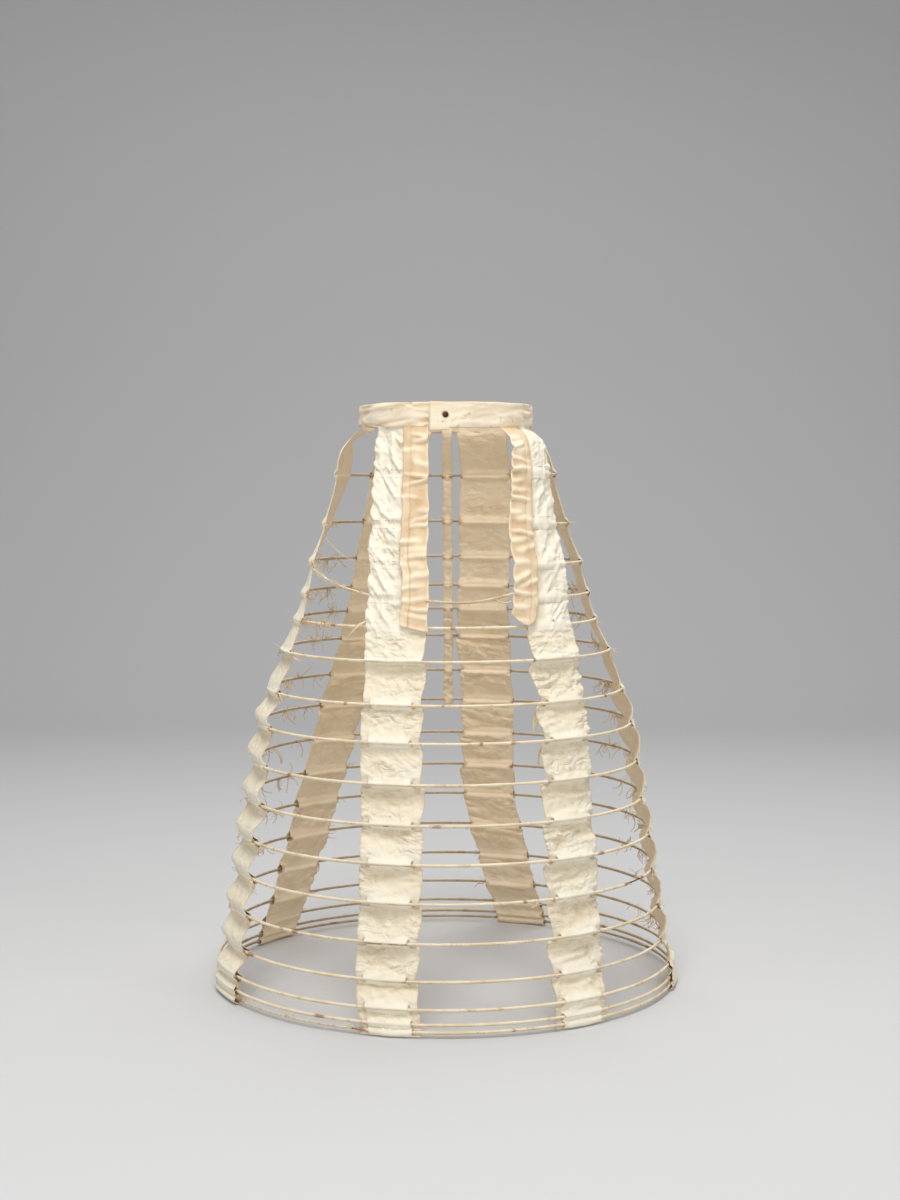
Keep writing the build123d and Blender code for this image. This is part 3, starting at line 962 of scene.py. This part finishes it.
# Radius and height of the lines that the plackets lie along
BAND_POINT = (WAIST_RADIUS + 0.0008, BAND_LOW)
LEFT_LINE = [BAND_POINT, (RADIUS[5] + 0.0042, HEIGHT[5] + 0.0012), (RADIUS[5] + 0.0052, HEIGHT[5] - 0.01)]
RIGHT_LINE = [BAND_POINT] + [(RADIUS[n] + 0.0052, HEIGHT[n] + 0.0012) for n in HOOPS[:5]]
RIGHT_LINE += [(RADIUS[5] + 0.006, HEIGHT[5] - 0.01)]
LEFT_PLACKET = placket("left_placket", "front_left_tape", 1, (0.001, 0.0045), LEFT_LINE, 81, left_foot)
RIGHT_PLACKET = placket("right_placket", "front_right_tape", -1, (0.008, 0.0205), RIGHT_LINE, 97, right_foot,
                        FRONT_SWELL)


# Loose remains of the upper hoops, with routes in millimetres
THREAD_ROUTE = ((-137.5, -30.4, -132), (-123, -59, -147), (-105, -88, -157.5), (-79.05, -125.8, -163.6))
BRAID_ROUTE = ((-147.4, -44.4, -169.8), (-132, -67, -180), (-109, -101, -188.5), (-81, -139, -193.5))
EMPTY_COVER_ROUTE = ((-21.3, -166, -198), (11, -159, -201.5), (42, -153.5, -199.5), (73.5, -149.6, -190.8))
STRAND_SIDES = 12
STRAND_STEP = 0.0011


def route_points(route):
    """Points along a route's smooth curve."""
    curve = bpy.data.curves.new("route", "CURVE")
    curve.dimensions = "3D"
    spline = curve.splines.new("NURBS")
    spline.points.add(len(route) - 1)
    for point, place in zip(spline.points, route):
        point.co = (*[v / 1000 for v in place], 1)
    spline.order_u = 3
    spline.use_endpoint_u = True
    spline.resolution_u = 16
    obj = linked("route", curve)
    mesh = shown_mesh(obj)
    points = np.array([v.co[:] for v in mesh.vertices])
    bpy.data.objects.remove(obj)
    bpy.data.meshes.remove(mesh)
    return points


def loose_remnant(node, route, diameter, material):
    points = route_points(route)
    run = run_along(points)
    length = float(run[-1])
    even = np.linspace(0, length, int(length / STRAND_STEP))
    path = points_at(points, run, even)
    radii = diameter / 2 * (1 + 0.06 * noise(even * 500, 1, 31) - 0.04)
    made, faces, uv = tube(path, radii, STRAND_SIDES, False)
    stain = 0.3 * (noise(even * 300, 2, 33) > 0.5)
    obj = mesh_piece(node + "_strand", made, faces, material, uv, {"stain": np.repeat(stain, STRAND_SIDES)})
    put_on(obj, "hoop_braid", node)
    return path


THREAD_PATH = loose_remnant("hoop_03_loose_thread", THREAD_ROUTE, 0.0008, THREAD)
BRAID_PATH = loose_remnant("hoop_04_loose_braid", BRAID_ROUTE, 0.0024, BRAID)
EMPTY_PATH = loose_remnant("hoop_04_empty_cover", EMPTY_COVER_ROUTE, 0.0028, THREAD)


# Stitches, frayed ends and fuzz, all set out by one node tree
def thread_tree():
    """A tree that sets a bowed thread on each point, turned and sized by the point's own values."""
    tree = bpy.data.node_groups.new("set_threads", "GeometryNodeTree")
    base = Socket(tree)
    for label, kind in (("Geometry", "Geometry"), ("Finish", "Material"), ("Thickness", "Float"),
                        ("Bend", "Float"), ("Seed", "Int")):
        tree.interface.new_socket(label, in_out="INPUT", socket_type="NodeSocket" + kind)
    tree.interface.new_socket("Geometry", in_out="OUTPUT", socket_type="NodeSocketGeometry")
    given = {output.name: Socket(tree, output) for output in tree.nodes.new("NodeGroupInput").outputs}
    middle = base.node("ShaderNodeCombineXYZ", 0, {"X": given["Bend"], "Z": 0.5})
    arc = base.node("GeometryNodeCurveQuadraticBezier", 0,
                    {"Resolution": 7, "Start": (0, 0, 0), "Middle": middle, "End": (0, 0, 1)})
    ring = base.node("GeometryNodeCurvePrimitiveCircle", 0, {"Resolution": 6, "Radius": given["Thickness"]})
    body = base.node("GeometryNodeCurveToMesh", 0, {"Curve": arc, "Profile Curve": ring, "Fill Caps": True})
    turn = base.node("GeometryNodeInputNamedAttribute", 0, {"Name": "turn"}, data_type="FLOAT_VECTOR")
    aim = base.node("FunctionNodeEulerToRotation", 0, {"Euler": turn})
    size = base.node("GeometryNodeInputNamedAttribute", 0, {"Name": "size"}, data_type="FLOAT")
    vary = base.node("FunctionNodeRandomValue", 1, {2: 0.8, 3: 1.2, "Seed": given["Seed"]}, data_type="FLOAT")
    place = base.node("GeometryNodeInstanceOnPoints", 0, {"Points": given["Geometry"], "Instance": body,
                                                          "Rotation": aim, "Scale": size * vary})
    whole = base.node("GeometryNodeRealizeInstances", 0, {"Geometry": place})
    finish = base.node("GeometryNodeSetMaterial", 0, {"Geometry": whole, "Material": given["Finish"]})
    base.feed(tree.nodes.new("NodeGroupOutput").inputs["Geometry"], finish)
    return tree


THREAD_TREE = thread_tree()


def threads(name, starts, finish, thickness, bend, seed, slot):
    """Short threads; each start is (place, direction that it bows towards, direction along it, length)."""
    mesh = bpy.data.meshes.new(name)
    mesh.from_pydata([tuple(start[0]) for start in starts], [], [])
    turns, sizes = [], []
    for _, bow, along, length in starts:
        z_axis = Vector(along).normalized()
        y_axis = z_axis.cross(Vector(bow)).normalized()
        x_axis = y_axis.cross(z_axis)
        turns += Matrix((x_axis, y_axis, z_axis)).transposed().to_euler()[:]
        sizes.append(length)
    mesh.attributes.new("turn", "FLOAT_VECTOR", "POINT").data.foreach_set("vector", turns)
    mesh.attributes.new("size", "FLOAT", "POINT").data.foreach_set("value", sizes)
    obj = linked(name, mesh)
    made = obj.modifiers.new("threads", "NODES")
    made.node_group = THREAD_TREE
    values = {"Finish": finish, "Thickness": thickness, "Bend": bend, "Seed": seed}
    for item in THREAD_TREE.interface.items_tree:
        if item.in_out == "INPUT" and item.name in values:
            made[item.identifier] = values[item.name]
    put_on(baked(obj), slot)


def outward(place):
    return Vector((place[0], place[1], 0)).normalized()


def on_hoop(number, angle, out=0.0):
    return placed(np.array(RADIUS[number] + out), np.array(float(angle)), np.array(HEIGHT[number]))


def round_hoop(angle, fall=0.0):
    """The direction along a hoop, towards growing angles."""
    return Vector((math.cos(math.radians(angle)), math.sin(math.radians(angle)), fall))


def past_edge(made, edge, z):
    """A place on a tape's edge and the direction across the tape and past that edge."""
    place = made.at(edge, z)
    return place, Vector(place - made.at(0.5, z)).normalized()


def seam(line, pitch, length, lift, rng):
    """Stitches along a line of places."""
    line = np.asarray(line)
    run = run_along(line)
    starts = []
    for way in np.arange(0, run[-1] - length, pitch):
        if rng.random() < 0.12:
            continue
        way += rng.normal(0, 0.1) * pitch
        here, there = points_at(line, run, way), points_at(line, run, way + length)
        out = outward(here)
        starts.append((Vector(here) + out * lift, out, there - here, length))
    return starts


def tuft(place, direction, count, length, spread, rng):
    """A tuft of frayed threads, kept above the hem."""
    starts = []
    for _ in range(count):
        aim = Vector(direction).normalized() + Vector(rng.normal(0, spread, 3))
        if place[2] + length * aim.z < HEIGHT[HEM_HOOP]:
            aim.z = abs(aim.z)
        bow = Vector(rng.normal(0, 1, 3))
        if place[2] - length < HEIGHT[HEM_HOOP]:
            bow.z = abs(bow.z)
        root = Vector(place) + Vector(rng.normal(0, 0.0007, 3))
        starts.append((root, bow, aim, length * rng.uniform(0.4, 1.2)))
    return starts


STITCH_LIFT = 0.0001
PLACKET_STITCH_LIFT = 0.0004
CHANNELS = (("front_left_tape", (0.0042, -0.0042), 0.03, 0.56),
            ("front_right_tape", (0.0080, -0.0056), 0.26, 0.97))
BAND_FACE = 0.1011
BAND_SEAMS = ((((0.010, -0.004), (0.016, -0.0038), (0.024, -0.0045)), 0.0028),
              (((-0.009, -0.007), (-0.004, -0.0074), (0.0, -0.007)), 0.0024))


def sewing():
    rng = np.random.default_rng(5)
    brown = []
    for n in OPEN_HOOPS:
        for name, gap, first, last in CHANNELS:
            for shift in gap:
                line = [TAPES[name].at(u, HEIGHT[n] + shift) for u in np.linspace(first, last, 30)]
                brown += seam(line, 0.0036, 0.0019, STITCH_LIFT, rng)
    pale = seam(LEFT_PLACKET[62:138, 7], 0.0042, 0.0020, PLACKET_STITCH_LIFT, rng)
    for grid in (LEFT_PLACKET, RIGHT_PLACKET):
        pale += seam(grid[4:146, 1], 0.0058, 0.0016, PLACKET_STITCH_LIFT, rng)
    threads("placket_stitches", pale, THREAD, 0.1, 0.2, 4, "placket_cotton")
    for places, pitch in BAND_SEAMS:
        line = [(x, -math.sqrt(BAND_FACE ** 2 - x * x), z) for x, z in places]
        brown += seam(line, pitch, 0.0016, STITCH_LIFT, rng)
    threads("channel_stitches", brown, STITCH, 0.12, 0.2, 3, "tape_cotton")


MOUTH_DROP = 0.001
FRAYED_EDGES = (("side_left_tape", (1.0, 0.0), range(2, 15)), ("side_right_tape", (0.0, 1.0), range(2, 15)),
                ("back_left_tape", (0.0,), range(5, 16)), ("back_right_tape", (1.0,), range(4, 16)))
FRAYED_HOOPS = ((5, BREAK_ANGLES[0], 1), (5, BREAK_ANGLES[1], -1), (12, 56, 1), (12, 63.5, -1), (17, -57, 1),
                (17, -21, -1), (17, -40, 1))
FIBRE_EDGES = (("side_left_tape", (0.0,), range(2, 12)), ("back_left_tape", (0.0,), range(5, 13)),
               ("side_right_tape", (1.0,), range(3, 15)), ("side_left_tape", (1.0,), range(3, 6)))
FIBRE_HOOPS = (("back_left_tape", range(3, 13)), ("side_right_tape", range(4, 15)))
LEFT_TUFTS = (("side_left_tape", (0.0,), (5, 6, 7, 8, 9, 11)), ("side_left_tape", (1.0,), (6,)),
              ("side_left_tape", (0.0,), (3, 2)))
RIGHT_TUFTS = (("side_right_tape", (1.0,), (2, 4, 6, 8, 10, 11, 14)),)
KNOT_ANGLE = 23.2


def mouths(rows):
    """The pockets' mouths in rows of (tape, edges, hoops), with the direction past the edge at each."""
    for name, edges, hoops in rows:
        for n in hoops:
            for edge in edges:
                yield past_edge(TAPES[name], edge, HEIGHT[n] - MOUTH_DROP)


def mouth_tufts(rng):
    """Frayed threads at the pockets' mouths and at the ends of broken sleeves."""
    starts = []
    for place, away in mouths(FRAYED_EDGES):
        if rng.random() < 0.25:
            continue
        aim = away + Vector((0, 0, -0.5))
        starts += tuft(place, aim, int(rng.integers(3, 9)), rng.uniform(0.007, 0.017), 0.6, rng)
    for number, angle, aim in FRAYED_HOOPS:
        starts += tuft(on_hoop(number, angle), round_hoop(angle) * aim, 12, 0.008, 0.35, rng)
    return starts


def fibres(rng):
    """Fine brown fibres inside the cage and along the broken hoop."""
    starts = []
    for place, away in mouths(FIBRE_EDGES):
        starts += tuft(place, away - 0.7 * outward(place), int(rng.integers(4, 10)), 0.014, 0.45, rng)
    for name, hoops in FIBRE_HOOPS:
        for n in hoops:
            edge = tape_angle(name, HEIGHT[n]) + half_angle(TAPE_WIDTH, RADIUS[n])
            for angle in rng.uniform(edge + 3, edge + 26, int(rng.integers(2, 5))):
                aim = (0, -0.2, rng.normal(-0.4, 0.6))
                starts += tuft(on_hoop(n, angle), aim, int(rng.integers(4, 11)), 0.017, 0.7, rng)
    for angle in np.linspace(-70, BREAK_ANGLES[0], 12):
        starts += tuft(on_hoop(5, angle), round_hoop(angle, -0.15), 7, 0.013, 0.4, rng)
    return starts


def side_tufts(rng):
    """Larger tufts behind the side tapes."""
    starts = []
    for place, _ in mouths(LEFT_TUFTS):
        starts += tuft(place, (0.9, 0.3, rng.normal(0, 0.5)), 7, 0.014, 0.4, rng)
    for place, _ in mouths(RIGHT_TUFTS):
        starts += tuft(place, (-0.9, 0.4, rng.normal(-0.3, 0.4)), 7, 0.014, 0.4, rng)
    return starts


def remnant_fuzz(rng):
    starts = []
    for path in (BRAID_PATH, EMPTY_PATH):
        for place in path[3:-3:4]:
            starts += tuft(place, rng.normal(0, 1, 3), 2, 0.0055, 0.4, rng)
    return starts


def unravelled(rng):
    """Threads that have come out of the loose braid and of the empty cover."""
    starts = []
    for first in range(2, len(BRAID_PATH) - 16, 5):
        last = first + int(rng.integers(9, 15))
        along = BRAID_PATH[last] - BRAID_PATH[first]
        bow = Vector(rng.normal(0, 0.6, 3)) + Vector((0, 0, 1 if rng.random() < 0.6 else -1))
        starts.append((BRAID_PATH[first], bow, along, float(np.linalg.norm(along))))
    loose = EMPTY_PATH[int(0.76 * len(EMPTY_PATH))]
    starts.append((loose, (0, -0.3, -1), EMPTY_PATH[-1] - loose + np.array([0, 0, -0.006]), 0.026))
    return starts


def edge_fuzz(rng):
    """Single short fibres on the loose thread, along the tapes' edges and on the band's under end."""
    starts = []
    for place in THREAD_PATH[4:-4:9]:
        starts += tuft(place, rng.normal(0, 1, 3), 1, 0.004, 0.4, rng)
    for name in ("front_left_tape", "front_right_tape", "side_left_tape", "side_right_tape"):
        for _ in range(90):
            edge = float(rng.integers(0, 2))
            place, away = past_edge(TAPES[name], edge, rng.uniform(HEIGHT[HEM_HOOP], BAND_LOW - 0.02))
            starts += tuft(place, away + Vector((0, 0, -0.4)), 1, 0.0045, 0.6, rng)
    for _ in range(16):
        place = (-0.0172, -0.0993, rng.uniform(-0.008, 0.007))
        starts += tuft(place, (-1, -0.25, rng.normal(0, 0.6)), 1, 0.0062, 0.35, rng)
    return starts


def loose_strips():
    """The narrow strips that hang from the front tapes' edges."""
    left = TAPES["front_left_tape"].at(0.0, HEIGHT[5] + 0.006)
    upper = TAPES["front_right_tape"].at(0.02, HEIGHT[7] - 0.004)
    lower = TAPES["front_right_tape"].at(0.01, HEIGHT[8] - 0.004)
    return [(left, (-0.3, -0.5, 0.8), (-0.75, -0.1, -0.72), 0.026),
            (left, (0, -1, 0.2), (-0.8, 0, -0.35), 0.012),
            (upper, (-1, -0.5, 0), (-0.16, -0.05, -1), 0.025),
            (upper, (1, -0.5, 0), (-0.2, -0.05, -1), 0.022),
            (lower, (-1, -0.5, 0), (-0.2, -0.05, -1), 0.02)]


def fraying():
    rng = np.random.default_rng(8)
    tufts = mouth_tufts(rng)
    threads("fine_fibres", fibres(rng), FIBRE, 0.022, 0.45, 13, "hoop_braid")
    tufts += side_tufts(rng)
    fuzz = remnant_fuzz(rng)
    tufts += unravelled(rng)
    fuzz += edge_fuzz(rng)
    threads("loose_strips", loose_strips(), THREAD, 0.04, 0.16, 10, "tape_cotton")
    tufts += tuft(on_hoop(12, KNOT_ANGLE, 0.001), (0.6, -0.6, 0.2), 9, 0.0075, 0.8, rng)
    threads("frayed_ends", tufts, THREAD, 0.033, 0.36, 11, "hoop_braid")
    threads("edge_fuzz", fuzz, THREAD, 0.032, 0.25, 12, "tape_cotton")


sewing()
fraying()


# Floor, light and background
LAMPS = (("key light", (-0.1, -1.25, 2.2), 1.1, 46), ("fill light", (-0.2, -2.7, 0.2), 2.2, 15),
         ("left light", (-1.7, -1.3, 0.6), 1.0, 4.8), ("right light", (1.7, -1.3, 0.6), 1.0, 7),
         ("top light", (0.2, 0.9, 2.2), 2.0, 34))
LAMP_AIM = Vector((0, 0, -0.3))
FLOOR_FRONT = -3.5
FLOOR_BACK = 2.2
FLOOR_HALF = 6
BEND_RADIUS = 1.1
WALL_HEIGHT = 4


def backdrop():
    """A plain floor that bends up into a wall behind the cage."""
    floor_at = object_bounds()[0][2] - 0.0005
    steps = [(FLOOR_FRONT, floor_at), (FLOOR_BACK, floor_at)]
    for turn in np.radians(np.linspace(0, 90, 13)[1:]):
        rise = BEND_RADIUS * (1 - math.cos(turn))
        steps.append((FLOOR_BACK + BEND_RADIUS * math.sin(turn), floor_at + rise))
    steps.append((FLOOR_BACK + BEND_RADIUS, floor_at + WALL_HEIGHT))
    points = [(x, y, z) for y, z in steps for x in (-FLOOR_HALF, FLOOR_HALF)]
    faces = [(2 * k, 2 * k + 1, 2 * k + 3, 2 * k + 2) for k in range(len(steps) - 1)]
    material, _, shader = blank("studio floor")
    shader.inputs["Base Color"].default_value = linear(206, 206, 206)
    shader.inputs["Roughness"].default_value = 0.95
    shader.inputs["Specular IOR Level"].default_value = 0.1
    mesh_piece("floor", points, faces, material)


def lights():
    for name, place, size, power in LAMPS:
        lamp = bpy.data.lights.new(name, "AREA")
        lamp.size = size
        lamp.energy = power
        obj = linked(name, lamp)
        obj.location = place
        obj.rotation_euler = (LAMP_AIM - Vector(place)).to_track_quat("-Z", "Y").to_euler()
    world = bpy.data.worlds.new("studio")
    world.use_nodes = True
    world.node_tree.nodes["Background"].inputs["Color"].default_value = linear(235, 235, 235)
    world.node_tree.nodes["Background"].inputs["Strength"].default_value = 0.3
    bpy.context.scene.world = world


backdrop()
lights()
bpy.context.scene.view_settings.view_transform = "Standard"
